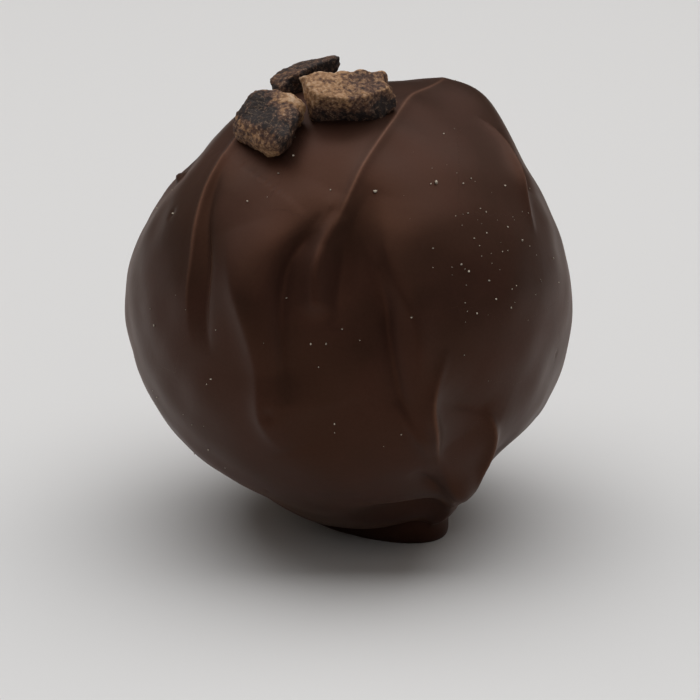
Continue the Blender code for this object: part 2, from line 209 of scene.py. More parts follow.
FOLDS = (
    # Left drape and the crease that runs down beside it.
    Fold(((-150, 72), (-62, 57.5), (-53.5, 40.5), (-47.8, 26), (-45, 14), (-42, 3)),
         (0.0, 0.55, 0.65, 0.65, 0.35, 0.0), 3.2, 1.1, 0.15, 0.2),
    Fold(((-56, 52), (-49, 38), (-41.5, 25), (-39, 14), (-36, 4)),
         (0.0, -0.35, -0.6, -0.45, 0.0), 1.0, 0.35, 0.2),
    # Rounded left edge of the big lobe, down to the low dome.
    Fold(((-38, 35), (-31, 24), (-25.3, 13), (-22.5, 3), (-21.5, -10), (-17.5, -20)),
         (0.0, 0.4, 0.6, 0.6, 0.8, 0.0), 0.7, 2.2, 0.4),
    # Right edge of the big lobe, and the crease under it.
    Fold(((-4, 48), (-10, 40), (-16, 35), (-19.5, 26), (-19.5, 16), (-18, 2)),
         (0.0, 0.4, 0.65, 0.65, 0.4, 0.0), 3.0, 0.5, 0.2),
    Fold(((-6, 44), (-13, 37), (-17.5, 30), (-18.5, 20), (-17, 7), (-15.5, -6)),
         (0.0, -0.6, -0.9, -0.8, -0.4, 0.0), 0.45, 0.6, 0.4),
    # Long drape from the back over the top, its finger, and the crease on its right.
    Fold(((160, 48), (124, 63), (80, 74.5), (28, 68.5), (6, 55.5), (-2, 44), (-7, 34)),
         (0.0, 0.2, 0.5, 0.6, 0.55, 0.5, 0.0), 4.0, 1.7, 0.15, 0.22, (1.0, 1.0, 1.0, 0.6, 0.3, 0.16)),
    Fold(((-3.2, 42.5), (-7.4, 35), (-9, 28), (-8.7, 21)), (0.0, 0.6, 0.95, 0.95), 0.35, 0.35, 2.5),
    Fold(((9, 50), (2, 41), (-1.6, 32), (-3.2, 24), (-3.5, 14)),
         (0.0, -0.25, -0.55, -0.6, 0.0), 0.5, 1.1, 0.4),
    # Left shoulder of the right dome, and the crease along it.
    Fold(((12, 47), (10.5, 34), (12.5, 24), (15.7, 15), (16.5, 5), (15.5, -6)),
         (0.0, 0.25, 0.5, 0.7, 0.45, 0.0), 0.5, 1.7, 0.35),
    Fold(((7.5, 26.5), (9.9, 20), (10.6, 10), (12.7, -3), (17.5, -16)),
         (-0.2, -0.85, -0.7, -0.45, 0.0), 0.9, 0.35, 0.25),
    # The two low folds on either side of the scoop, and the overhang above it.
    Fold(((24.5, 8), (21.5, 0), (20.3, -7), (21.5, -14), (26, -30)),
         (0.0, 0.3, 0.85, 0.3, 0.0), 0.6, 0.6, 0.2, 0.2),
    Fold(((37, -10), (40, -17.5), (40.5, -26), (37, -36)), (0.0, 0.5, 0.5, 0.0), 0.5, 0.5, 0.2, 0.2),
    Fold(((22, -3.5), (28, -8), (35, -11), (42, -15)), (0.0, -0.28, -0.22, 0.0), 0.3, 1.2, 0.3),
    # Web that hangs from them down to the foot, and the nick at its top.
    Fold(((24, -20), (32, -37), (42, -50), (46, -60)), (0.0, 0.95, 1.2, 0.8), 0.45, 2.4, 0.3),
    Fold(((17, -26), (25, -32), (34, -38.5)), (0.0, -0.6, -0.3), 0.5, 0.35, 0.25),
    Fold(((11.5, -5), (15, -12), (19.5, -19), (24, -29)), (0.0, 0.35, 0.2, 0.0), 0.3, 0.5, 0.25),
    # Fold in front of the shoulder, and the crease behind it.
    Fold(((92, 58), (84, 50.5), (77, 45), (71, 39), (64, 28)),
         (0.0, 0.5, 0.75, 0.35, 0.0), 0.8, 0.35, 0.15, 0.2),
    Fold(((95, 52), (88.5, 48), (82.5, 43), (77, 37)), (0.0, -0.6, -0.7, 0.0), 0.35, 0.6, 0.3),
    # Drapes down the back.
    Fold(((-148, 62), (-160, 34), (-168, 2), (-166, -30)), (0.0, 0.6, 0.5, 0.0), 0.6, 2.8, 0.3, 0.15),
    Fold(((-155, 48), (-164, 22), (-171, -8)), (0.0, -0.5, 0.0), 0.8, 0.6, 0.4),
    Fold(((-104, 52), (-113, 26), (-119, 0), (-117, -28)), (0.0, 0.5, 0.5, 0.0), 0.7, 2.4, 0.3, 0.15),
    Fold(((155, 44), (139, 24), (130, 0), (127, -30)), (0.0, 0.6, 0.5, 0.0), 2.6, 0.6, 0.3, 0.15),
    Fold(((146, 34), (134, 14), (126, -8)), (0.0, -0.45, 0.0), 0.6, 0.8, 0.4),
    Fold(((104, 14), (101, -10), (98, -36)), (0.0, 0.4, 0.0), 0.8, 1.6, 0.4, 0.08),
)

NIBS = (
    Nib("nib_left", -50, 64, 1.0, (4.5, 4.1, 3.5), 6, 10, -10, 6,
        (Lobe(-31, 51, -0.5, 1.5, 1.2), Lobe(67, 1, -0.4, 0.6, 0.9)),
        # The low last tone, for the underside, is painted shade.
        (0.4, 0.45, 0.5, 0.55, 0.7, 0.15),
        # The patch Lobe(0, -80, -0.3) darkens the bottom of the nib: painted shade.
        (Lobe(-45, 48, -0.55, 1.9, 1.3), Lobe(60, 62, 0.25, 1.0, 0.4, -30), Lobe(85, 28, 0.25, 0.4, 0.8),
         Lobe(36, 27, 0.25, 0.3, 0.6), Lobe(0, -80, -0.3, 1.6, 1.2), Lobe(55, 0, -0.35, 0.4, 0.6))),
    Nib("nib_right", 1, 77.5, 1.1, (5.9, 3.2, 2.5), 20, 12, -7, 12,
        (Lobe(60, 50, -0.12, 0.4, 1.6), Lobe(100, 20, -0.6, 0.8, 0.8)),
        # The low last tone, for the underside, is painted shade.
        (0.58, 0.5, 0.62, 0.65, 0.52, 0.1),
        # The patch Lobe(0, -50, -0.38) darkens the lower front: painted shade under the nib.
        (Lobe(85, 35, -0.24, 1.6, 1.6), Lobe(0, -50, -0.38, 2.4, 0.9))),
    Nib("nib_back", -118, 77, 0.9, (6.3, 2.0, 1.8), 5, 160, 9, 23,
        (Lobe(-40, 55, -0.15, 0.6, 0.6),),
        (0.1, 0.08, 0.12, 0.1, 0.06, 0.05),
        (Lobe(-60, 20, 0.05, 0.8, 0.8),)),
)

# Larger crumbs of nib on the coat: longitude, latitude and diameter.
CRUMBS = (
    (34, 49, 0.42), (9, 48, 0.34), (-64, 33.5, 0.26), (45, 47, 0.22), (39, 22, 0.28),
    (-36, 43, 0.18), (-17, 21, 0.16), (-8, 4, 0.2), (-10, 10, 0.2), (-2, 14, 0.16),
    (-4, -11.5, 0.2), (-4, -14, 0.16), (13, -14, 0.16), (-36, -2, 0.18), (-58, 6, 0.18),
    (-62, -15, 0.16), (-43, -25, 0.18), (120, 61, 0.2),
)

# Open pores where air came out of the coat: longitude, latitude, depth and reach.
PORES = ((-64, 33.5, 0.12, 0.3), (70, -6, 0.06, 0.22), (-28, -38, 0.05, 0.2), (160, 20, 0.08, 0.25))


def hex_colour(code):
    """An sRGB hex code as linear red, green and blue."""
    srgb = np.array([int(code[k:k + 2], 16) for k in (0, 2, 4)]) / 255.0
    return tuple(np.where(srgb <= 0.04045, srgb / 12.92, ((srgb + 0.055) / 1.055)**2.4).tolist())


class PralineForm(bpy.types.PropertyGroup):
    """Sizes of the ball, its foot and the relief in its coat."""
    ball_diameter: bpy.props.FloatProperty(
        name="Ball diameter", description="Across the ball, without its folds",
        default=0.030, min=0.020, max=0.040, unit="LENGTH", subtype="DISTANCE")
    foot_length: bpy.props.FloatProperty(
        name="Foot length", description="Long way of the oval foot that the ball set on",
        default=0.0132, min=0.006, max=0.020, unit="LENGTH", subtype="DISTANCE")
    foot_width: bpy.props.FloatProperty(
        name="Foot width", description="Short way of the oval foot",
        default=0.0070, min=0.004, max=0.016, unit="LENGTH", subtype="DISTANCE")
    swell_height: bpy.props.FloatProperty(
        name="Swell height", description="Height of the long waves in the coat",
        default=0.00007, min=0.0, max=0.0005, unit="LENGTH", subtype="DISTANCE")
    ripple_height: bpy.props.FloatProperty(
        name="Ripple height", description="Height of the short waves in the coat",
        default=0.00003, min=0.0, max=0.0002, unit="LENGTH", subtype="DISTANCE")
    fold_share: bpy.props.FloatProperty(
        name="Fold height", description="Height of every fold and crease, as a share of its own",
        default=1.0, min=0.0, max=1.2, subtype="FACTOR")


class PralineColours(bpy.types.PropertyGroup):
    """Colours of the chocolate, the nibs and the crumbs."""
    chocolate: bpy.props.FloatVectorProperty(
        name="Chocolate", description="Main colour of the coat",
        default=hex_colour("271a15"), size=3, min=0.0, max=1.0, subtype="COLOR")
    chocolate_red: bpy.props.FloatVectorProperty(
        name="Reddish patches", description="Colour of the warmer patches in the coat",
        default=hex_colour("2e1d18"), size=3, min=0.0, max=1.0, subtype="COLOR")
    # The crest colour is a painted highlight: the lighter line along the folds' crests.
    crest: bpy.props.FloatVectorProperty(
        name="Crests", description="Colour of the thin line along a fold's crest",
        default=hex_colour("5a4034"), size=3, min=0.0, max=1.0, subtype="COLOR")
    nib_dark: bpy.props.FloatVectorProperty(
        name="Nib, broken face", description="Colour of a fresh break in a roasted bean",
        default=hex_colour("231917"), size=3, min=0.0, max=1.0, subtype="COLOR")
    nib_brown: bpy.props.FloatVectorProperty(
        name="Nib, brown", description="Main colour of a roasted nib",
        default=hex_colour("54392c"), size=3, min=0.0, max=1.0, subtype="COLOR")
    nib_tan: bpy.props.FloatVectorProperty(
        name="Nib, tan", description="Colour of the dry outside of a nib",
        default=hex_colour("9a7450"), size=3, min=0.0, max=1.0, subtype="COLOR")
    nib_pale: bpy.props.FloatVectorProperty(
        name="Nib, crust", description="Colour of the palest crust and of the dust on it",
        default=hex_colour("c6a88b"), size=3, min=0.0, max=1.0, subtype="COLOR")
    crumb: bpy.props.FloatVectorProperty(
        name="Crumbs", description="Colour of the crumbs on the coat",
        default=hex_colour("e8dcc8"), size=3, min=0.0, max=1.0, subtype="COLOR")


class PralineCrumbs(bpy.types.PropertyGroup):
    """Numbers and sizes of the fine crumbs."""
    dome_count: bpy.props.IntProperty(
        name="Crumbs on the dome", description="Fine crumbs on the right dome",
        default=64, min=0, max=400)
    spread_count: bpy.props.IntProperty(
        name="Crumbs elsewhere", description="Fine crumbs spread over the whole coat",
        default=70, min=0, max=400)
    smallest: bpy.props.FloatProperty(
        name="Smallest crumb", description="Diameter of the finest crumb",
        default=0.00007, min=0.00002, max=0.0005, unit="LENGTH", subtype="DISTANCE")
    largest: bpy.props.FloatProperty(
        name="Largest fine crumb", description="Diameter of the coarsest of the fine crumbs",
        default=0.00022, min=0.00005, max=0.0008, unit="LENGTH", subtype="DISTANCE")


class PralineStage(bpy.types.PropertyGroup):
    """The lights, the floor and the camera."""
    overhead: bpy.props.FloatProperty(
        name="Overhead softbox", description="Brightness of the large softbox above",
        default=2.1, min=0.0, max=20.0)
    front: bpy.props.FloatProperty(
        name="Front softbox", description="Brightness of the long softbox above the camera",
        default=0.4, min=0.0, max=20.0)
    sides: bpy.props.FloatProperty(
        name="Side softboxes", description="Brightness of the two softboxes beside and behind",
        default=0.32, min=0.0, max=20.0)
    side_colour: bpy.props.FloatVectorProperty(
        name="Side colour", description="Colour of the two softboxes beside and behind",
        default=(1.0, 0.83, 0.70), size=3, min=0.0, max=1.0, subtype="COLOR")
    room: bpy.props.FloatProperty(
        name="Room light", description="Brightness of the room all round",
        default=0.05, min=0.0, max=2.0)
    room_colour: bpy.props.FloatVectorProperty(
        name="Room colour", description="Colour of the room light",
        default=(1.0, 0.92, 0.85), size=3, min=0.0, max=1.0, subtype="COLOR")
    floor_colour: bpy.props.FloatVectorProperty(
        name="Floor", description="Colour of the floor",
        default=hex_colour("dedede"), size=3, min=0.0, max=1.0, subtype="COLOR")
    camera_height: bpy.props.FloatProperty(
        name="Camera height", description="How far the camera looks down, as an angle",
        default=np.radians(20.0), min=0.0, max=np.radians(90.0), subtype="ANGLE")
    lens: bpy.props.FloatProperty(
        name="Lens", description="Focal length of the camera",
        default=180.0, min=20.0, max=400.0, unit="CAMERA")


def direction(lon, lat):
    """Unit vectors for longitudes and latitudes in degrees."""
    lon, lat = np.radians(lon), np.radians(lat)
    return np.stack([np.sin(lon) * np.cos(lat), -np.cos(lon) * np.cos(lat), np.sin(lat)], -1)


def tangents(normal):
    """The directions due east and due north on the ball at one direction."""
    east = np.cross([0.0, 0.0, 1.0], normal)
    east /= np.linalg.norm(east)
    return east, np.cross(normal, east)


def spline(values, steps):
    """A Catmull-Rom curve: the cubic that passes through each row of values with the slope
    of the line between its two neighbours, read at steps from 0 to 1."""
    values = np.asarray(values, float)
    values = np.concatenate([2 * values[:1] - values[1:2], values, 2 * values[-1:] - values[-2:-1]])
    place = np.clip(steps, 0.0, 1.0) * (len(values) - 3)
    first = np.minimum(place.astype(int), len(values) - 4)
    t = (place - first).reshape((-1,) + (1,) * (values.ndim - 1))
    a, b, c, d = (values[first + k] for k in range(4))
    cubic = 3 * b - a - 3 * c + d
    return 0.5 * (2 * b + (c - a) * t + (2 * a - 5 * b + 4 * c - d) * t**2 + cubic * t**3)


def fold_line(path, points_per_span=8):
    """The fold's path as points on the unit ball: its spline, pushed out to length 1."""
    steps = np.linspace(0.0, 1.0, points_per_span * (len(path) - 1) + 1)
    line = spline(direction(*np.array(path, float).T), steps)
    return line / np.linalg.norm(line, axis=1, keepdims=True)


def nearest_on_line(line, directions, radius):
    """For each direction, the share of the line passed at its nearest point, and its
    distance from there in millimetres, positive on the line's right. The nearest point of
    a span is where the direction's shadow falls on it, kept between the span's ends."""
    start, end = line[:-1], line[1:]
    step = end - start
    length = np.linalg.norm(step, axis=1)
    travelled = np.concatenate([[0.0], np.cumsum(length)])
    along = (directions @ step.T - (start * step).sum(1)) / length**2
    along = np.clip(along, 0.0, 1.0)
    reach = directions @ start.T + along * (directions @ step.T)
    near = (start * start).sum(1) + 2 * along * (start * step).sum(1) + (along * length)**2
    gap_squared = np.maximum(1.0 + near - 2 * reach, 0.0)
    span = gap_squared.argmin(1)
    rows = np.arange(len(directions))
    side = np.sign((directions * np.cross(start, end)[span]).sum(1))
    share = (travelled[span] + along[rows, span] * length[span]) / travelled[-1]
    return share, np.sqrt(gap_squared[rows, span]) * side * radius


def fold_height(fold, directions, radius):
    """Height times exp(-distance / reach) on each flank, rounded at the crest, with a narrow
    bell-shaped bead on top. Also how strong the painted highlight line on its crest is, 0 to 1,
    and the distance from the crest."""
    share, offset = nearest_on_line(fold_line(fold.path), directions, radius)
    left = fold.left * spline(fold.left_shares, share)
    reach = np.where(offset > 0.0, fold.right, left)
    fall = np.sqrt((offset / reach)**2 + fold.rounding**2) - fold.rounding
    height = spline(fold.heights, share)
    bead = fold.bead * height / BEAD_FULL_HEIGHT * np.exp(-(offset / BEAD_WIDTH)**2)
    low, high = CREST_HIGHLIGHT_HEIGHTS
    line = np.clip((height - low) / (high - low), 0.0, 1.0) * fold.bead / LARGEST_BEAD
    return height * np.exp(-fall) + bead, line, offset


def lobe_height(lobe, directions, radius):
    """Height times exp(-(x / width)^2 - (y / length)^2), x and y being how far the
    direction lies beside and above the lobe's middle, on its own side of the ball."""
    middle = direction(lobe.lon, lobe.lat)
    east, north = tangents(middle)
    turn = np.radians(lobe.turn)
    across = np.cos(turn) * east + np.sin(turn) * north
    up = np.cos(turn) * north - np.sin(turn) * east
    x = directions @ across * radius / lobe.width
    y = directions @ up * radius / lobe.length
    same_side = np.clip(directions @ middle * SIDE_FADE, 0.0, 1.0)
    return lobe.height * np.exp(-(x * x + y * y)) * same_side


def waves(points, size, seed):
    """The sum of plane sine waves of about one length in random headings and phases,
    divided by the root of their number: between about -2 and 2."""
    random = np.random.default_rng(seed)
    heading = random.normal(size=(WAVE_COUNT, 3))
    heading /= np.linalg.norm(heading, axis=1, keepdims=True)
    heading *= 2 * np.pi / size * random.uniform(*WAVE_SPREAD, (WAVE_COUNT, 1))
    phase = random.uniform(0.0, 2 * np.pi, WAVE_COUNT)
    return np.sin(points @ heading.T + phase).sum(1) / np.sqrt(WAVE_COUNT)


def blended_max(a, b, rounding):
    """The larger of two, with a round blend where they are closer than the rounding."""
    near = np.maximum(rounding - np.abs(a - b), 0.0) / rounding
    return np.maximum(a, b) + near**2 * rounding / 4


def foot_distances(form, directions):
    """Distance to the floor, the drop divided by how steeply the direction goes down, and
    to the foot's upright wall, where the direction's run meets the oval."""
    floor = FLOOR_DROP / np.maximum(-directions[:, 2], 1e-6)
    turn = np.radians(FOOT_TURN)
    half_size = np.array([form.foot_length, form.foot_width]) / MM / 2
    axes = np.array([[np.cos(turn), np.sin(turn)], [-np.sin(turn), np.cos(turn)]])
    to_oval = axes / half_size[:, None]
    run = directions[:, :2] @ to_oval.T
    middle = to_oval @ [FOOT_X, 0.0]
    steep = (run * run).sum(1) + 1e-12
    ahead = run @ middle
    wall = (ahead + np.sqrt(np.maximum(ahead**2 - steep * (middle @ middle - 1.0), 0.0))) / steep
    below = directions[:, 2] < FOOT_TOP
    far = 3 * FLOOR_DROP
    return np.where(below, floor, far), np.where(below, np.minimum(wall, far), 0.0)


def coat_radius(form, directions):
    """Distance from the ball's centre to the coat in each direction: the ball's radius plus
    waves, lobes, folds and pores, or where further the foot, cut flat at the floor. Also how
    strong the painted highlight line on the nearest crest is, and the distance from that crest."""
    ball = form.ball_diameter / MM / 2
    radius = np.full(len(directions), ball)
    radius += form.swell_height / MM * waves(directions * ball, SWELL_SIZE, SWELL_SEED)
    radius += form.ripple_height / MM * waves(directions * ball, RIPPLE_SIZE, RIPPLE_SEED)
    closeness, crest, beside = np.zeros((3, len(directions)))
    for lobe in LOBES:
        radius += lobe_height(lobe, directions, ball)
    for fold in FOLDS:
        height, line, offset = fold_height(fold, directions, ball)
        radius += form.fold_share * height
        # Strength of the painted highlight line on the nearest crest, and the distance from it.
        close = line * np.exp(-(offset / CREST_REACH)**2)
        nearer = close > closeness
        closeness[nearer] = close[nearer]
        crest[nearer] = line[nearer]
        beside[nearer] = offset[nearer]
    for lon, lat, depth, reach in PORES:
        radius += lobe_height(Lobe(lon, lat, -depth, reach, reach), directions, ball)
    floor, wall = foot_distances(form, directions)
    foot = -blended_max(-floor, -wall, FOOT_ROUNDING)
    return np.minimum(blended_max(radius, foot, FOOT_ROUNDING), floor), crest, beside


def bands(parts):
    """Evenly spaced values within each band, one band after another."""
    return np.concatenate([np.linspace(low, high, count, endpoint=False) for low, high, count in parts])


def globe(columns, rows):
    """Directions on a grid of longitudes and latitudes with one point at each pole, and the
    faces that join them: a quad for each cell and a fan round each pole."""
    lon, lat = bands(columns), bands(rows)[1:]
    across, up = len(lon), len(lat)
    grid = direction(*(angle.ravel() for angle in np.meshgrid(lon, lat)))
    directions = np.concatenate([grid, [[0.0, 0.0, -1.0], [0.0, 0.0, 1.0]]])
    here = np.arange(across)
    after = (here + 1) % across
    row = np.arange(up - 1)[:, None] * across
    corners = np.stack([row + here, row + after, row + across + after, row + across + here], -1)
    south, north, last = up * across, up * across + 1, (up - 1) * across
    fan_south = np.stack([np.full(across, south), after, here], -1)
    fan_north = np.stack([np.full(across, north), last + here, last + after], -1)
    return directions, corners.reshape(-1, 4).tolist() + fan_south.tolist() + fan_north.tolist()


def bent_to_foot(form, directions):
    """The same directions, those near the foot moved up or down so that one row runs along
    the foot's edge. The edge's latitude has the drop over its reach as its tangent."""
    lon = np.degrees(np.arctan2(directions[:, 0], -directions[:, 1]))
    lat = np.degrees(np.arcsin(np.clip(directions[:, 2], -1.0, 1.0)))
    down = direction(lon, np.full(len(lon), FOOT_ROW))
    reach = foot_distances(form, down)[1] * np.cos(np.radians(FOOT_ROW))
    edge = -np.degrees(np.arctan2(FLOOR_DROP, reach))
    return direction(lon, lat + (edge - FOOT_ROW) * np.interp(lat, *BEND_SHARES))


def add_piece(name, points, faces, surface, node_slot, **values):
    """A smooth piece from points in millimetres in the frame, with one value for each point
    under each extra name. It rides on the praline's body."""
    mesh = bpy.data.meshes.new(name)
    mesh.from_pydata((points * MM).tolist(), [], faces)
    mesh.shade_smooth()
    for key, numbers in values.items():
        mesh.attributes.new(key, "FLOAT", "POINT").data.foreach_set("value", numbers.astype(np.float32))
    mesh.materials.append(surface)
    mesh.update()
    piece = bpy.data.objects.new(name, mesh)
    bpy.context.scene.collection.objects.link(piece)
    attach(piece, BODY)
    return piece


def ball_centre(form):
    """Where the ball's centre is in the frame, in millimetres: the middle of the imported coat,
    less the middle of the same coat worked out round its own centre."""
    directions, _ = globe(((0.0, 360.0, 180),), ((-90.0, 90.0, 90),))
    points = directions * coat_radius(form, directions)[0][:, None]
    low, high = (np.array(corner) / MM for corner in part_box("coat"))
    middle = (low + high) / 2 - (points.min(0) + points.max(0)) / 2
    return np.array([middle[0], middle[1], low[2] + FLOOR_DROP])


def nib_axes(nib):
    """The nib's own along, across and outward directions."""
    outward = direction(nib.lon, nib.lat)
    east, north = tangents(outward)
    turn, pitch = np.radians([nib.turn, nib.pitch])
    along = np.cos(turn) * east + np.sin(turn) * north
    across = np.cross(outward, along)
    raised = np.cos(pitch) * along + np.sin(pitch) * outward
    return np.stack([raised, across, np.cross(raised, across)])


def nib_radius(nib, directions):
    """A broken block: the nearest of its planes in each direction, by a high power sum that
    rounds the edges, less its dents, with crags of three sizes. Also its tone: its nearest
    side's, paler along edges as a painted highlight and on crags that stand up, plus its patches."""
    random = np.random.default_rng(nib.seed)
    half = np.array(nib.size) / 2
    sides = np.concatenate([np.eye(3), -np.eye(3)]) + random.normal(size=(6, 3)) * NIB_SIDE_TILT
    breaks = random.normal(size=(NIB_BREAKS, 3))
    sides[[0, 1, 3, 4], 2] -= NIB_UNDERCUT
    normals = np.concatenate([sides, breaks])
    normals /= np.linalg.norm(normals, axis=1, keepdims=True)
    corner = np.abs(normals) @ half
    waist = np.linalg.norm(normals * half, axis=1)
    share = np.concatenate([np.zeros(6), random.uniform(*BREAK_SHARES, NIB_BREAKS)])
    distance = waist + share * (corner - waist)
    facing = np.maximum(directions @ nib_axes(nib).T @ normals.T, 0.0) / distance
    radius = (facing**nib.edge).sum(1)**(-1 / nib.edge)
    tone = np.array(nib.tones)[facing[:, :6].argmax(1)]
    break_tones = np.concatenate([np.zeros(6), random.normal(size=NIB_BREAKS) * BREAK_TONE])
    tone += break_tones[facing.argmax(1)]
    second, nearest = np.sort(facing, axis=1)[:, -2:].T
    # Painted highlight along the edges, where two sides are nearly as near.
    tone += EDGE_HIGHLIGHT_TONE * (second / nearest)**EDGE_HIGHLIGHT_SHARPNESS
    for dent in nib.dents:
        radius += lobe_height(dent, directions, half.mean())
    for patch in nib.patches:
        share = lobe_height(patch, directions, half.mean()) / patch.height
        tone += patch.height * np.minimum(PATCH_FULLNESS * share, 1.0)
    crag = np.zeros(len(directions))
    for size, share in NIB_CRAGS:
        wave = waves(directions * radius[:, None], size, nib.seed)
        crag += share * wave
        tone += CRAG_TONE * wave
    return radius * (1.0 + crag), tone


def add_node(tree, kind, inputs=None, **settings):
    """Add a node, set its own settings, and give each named or numbered input a value or a
    link from another node's output."""
    node = tree.nodes.new(kind)
    for key, value in settings.items():
        setattr(node, key, value)
    for key, value in (inputs or {}).items():
        if isinstance(value, bpy.types.NodeSocket):
            tree.links.new(value, node.inputs[key])
        else:
            node.inputs[key].default_value = value
    return node


def new_material(name):
    """A material with its node tree and its main shader."""
    made = bpy.data.materials.new(name)
    made.use_nodes = True
    return made, made.node_tree, made.node_tree.nodes["Principled BSDF"]


def chocolate_material(colours):
    """Tempered dark chocolate, set in air after dipping: a close, waxy satin that shows soft
    brown sheens and no sharp reflections, with faint warmer patches and a thin painted
    highlight along the crests."""
    made, tree, shader = new_material("dipped_dark_chocolate")
    place = add_node(tree, "ShaderNodeTexCoord").outputs["Object"]
    # Patches of about 5 mm where the cocoa butter set a little warmer.
    patch_size = 5 * MM
    patches = add_node(tree, "ShaderNodeTexNoise", {"Vector": place, "Scale": 1 / patch_size,
                                                    "Detail": 3.0})
    warm = add_node(tree, "ShaderNodeMapRange", {"Value": patches.outputs["Fac"],
                                                 FROM_LOW: 0.4, FROM_HIGH: 0.62})
    base = add_node(tree, "ShaderNodeMix", {MIX_SHARE: warm.outputs[0],
                                            MIX_UNDER: (*colours.chocolate, 1.0),
                                            MIX_OVER: (*colours.chocolate_red, 1.0)}, data_type="RGBA")
    # The painted highlight line on a crest: its strength times exp(-(distance / width)^2).
    crest = add_node(tree, "ShaderNodeAttribute", attribute_name="crest")
    beside = add_node(tree, "ShaderNodeAttribute", attribute_name="beside_crest")
    widths = add_node(tree, "ShaderNodeMath", {0: beside.outputs["Fac"], 1: CREST_HIGHLIGHT_WIDTH},
                      operation="DIVIDE")
    squared = add_node(tree, "ShaderNodeMath", {0: widths.outputs[0], 1: widths.outputs[0]},
                       operation="MULTIPLY")
    fading = add_node(tree, "ShaderNodeMath", {0: np.exp(-1.0), 1: squared.outputs[0]},
                      operation="POWER")
    line = add_node(tree, "ShaderNodeMath", {0: fading.outputs[0], 1: crest.outputs["Fac"]},
                    operation="MULTIPLY")
    crest_highlighted = add_node(tree, "ShaderNodeMix", {MIX_SHARE: line.outputs[0], MIX_UNDER: base.outputs[MIXED],
                                           MIX_OVER: (*colours.crest, 1.0)}, data_type="RGBA")
    # Cocoa solids of 0.02 mm are too fine to show, so the grain is drawn at 0.2 mm.
    grain_size = 0.2 * MM
    grain = add_node(tree, "ShaderNodeTexNoise", {"Vector": place, "Scale": 1 / grain_size,
                                                  "Detail": 2.0})
    shade = add_node(tree, "ShaderNodeMapRange", {"Value": grain.outputs["Fac"], FROM_LOW: 0.3,
                                                  FROM_HIGH: 0.7, TO_LOW: 0.9, TO_HIGH: 1.1})
    final = add_node(tree, "ShaderNodeMix", {MIX_SHARE: 1.0, MIX_UNDER: crest_highlighted.outputs[MIXED],
                                             MIX_OVER: shade.outputs[0]},
                     data_type="RGBA", blend_type="MULTIPLY")
    # The line stands up a little, and the skin is faintly uneven over about 0.9 mm.
    line_height, skin_size, skin_height = 0.04 * MM, 0.9 * MM, 0.05 * MM
    raised = add_node(tree, "ShaderNodeBump", {"Height": line.outputs[0], "Strength": 1.0,
                                               "Distance": line_height})
    skin = add_node(tree, "ShaderNodeTexNoise", {"Vector": place, "Scale": 1 / skin_size, "Detail": 4.0})
    bump = add_node(tree, "ShaderNodeBump", {"Height": skin.outputs["Fac"], "Strength": 0.25,
                                             "Distance": skin_height, "Normal": raised.outputs[0]})
    # The warmer patches are also the duller ones.
    rough = add_node(tree, "ShaderNodeMapRange", {"Value": patches.outputs["Fac"], FROM_LOW: 0.3,
                                                  FROM_HIGH: 0.7, TO_LOW: 0.42, TO_HIGH: 0.52})
    tree.links.new(final.outputs[MIXED], shader.inputs["Base Color"])
    tree.links.new(bump.outputs[0], shader.inputs["Normal"])
    tree.links.new(rough.outputs[0], shader.inputs["Roughness"])
    shader.inputs["IOR"].default_value = 1.43
    shader.inputs["Specular Tint"].default_value = (*hex_colour("ffac84"), 1.0)
    # The faint brown bloom that a set coat shows where it is seen at a low angle.
    shader.inputs["Sheen Weight"].default_value = 0.12
    shader.inputs["Sheen Roughness"].default_value = 0.4
    shader.inputs["Sheen Tint"].default_value = (*hex_colour("b8835f"), 1.0)
    return made


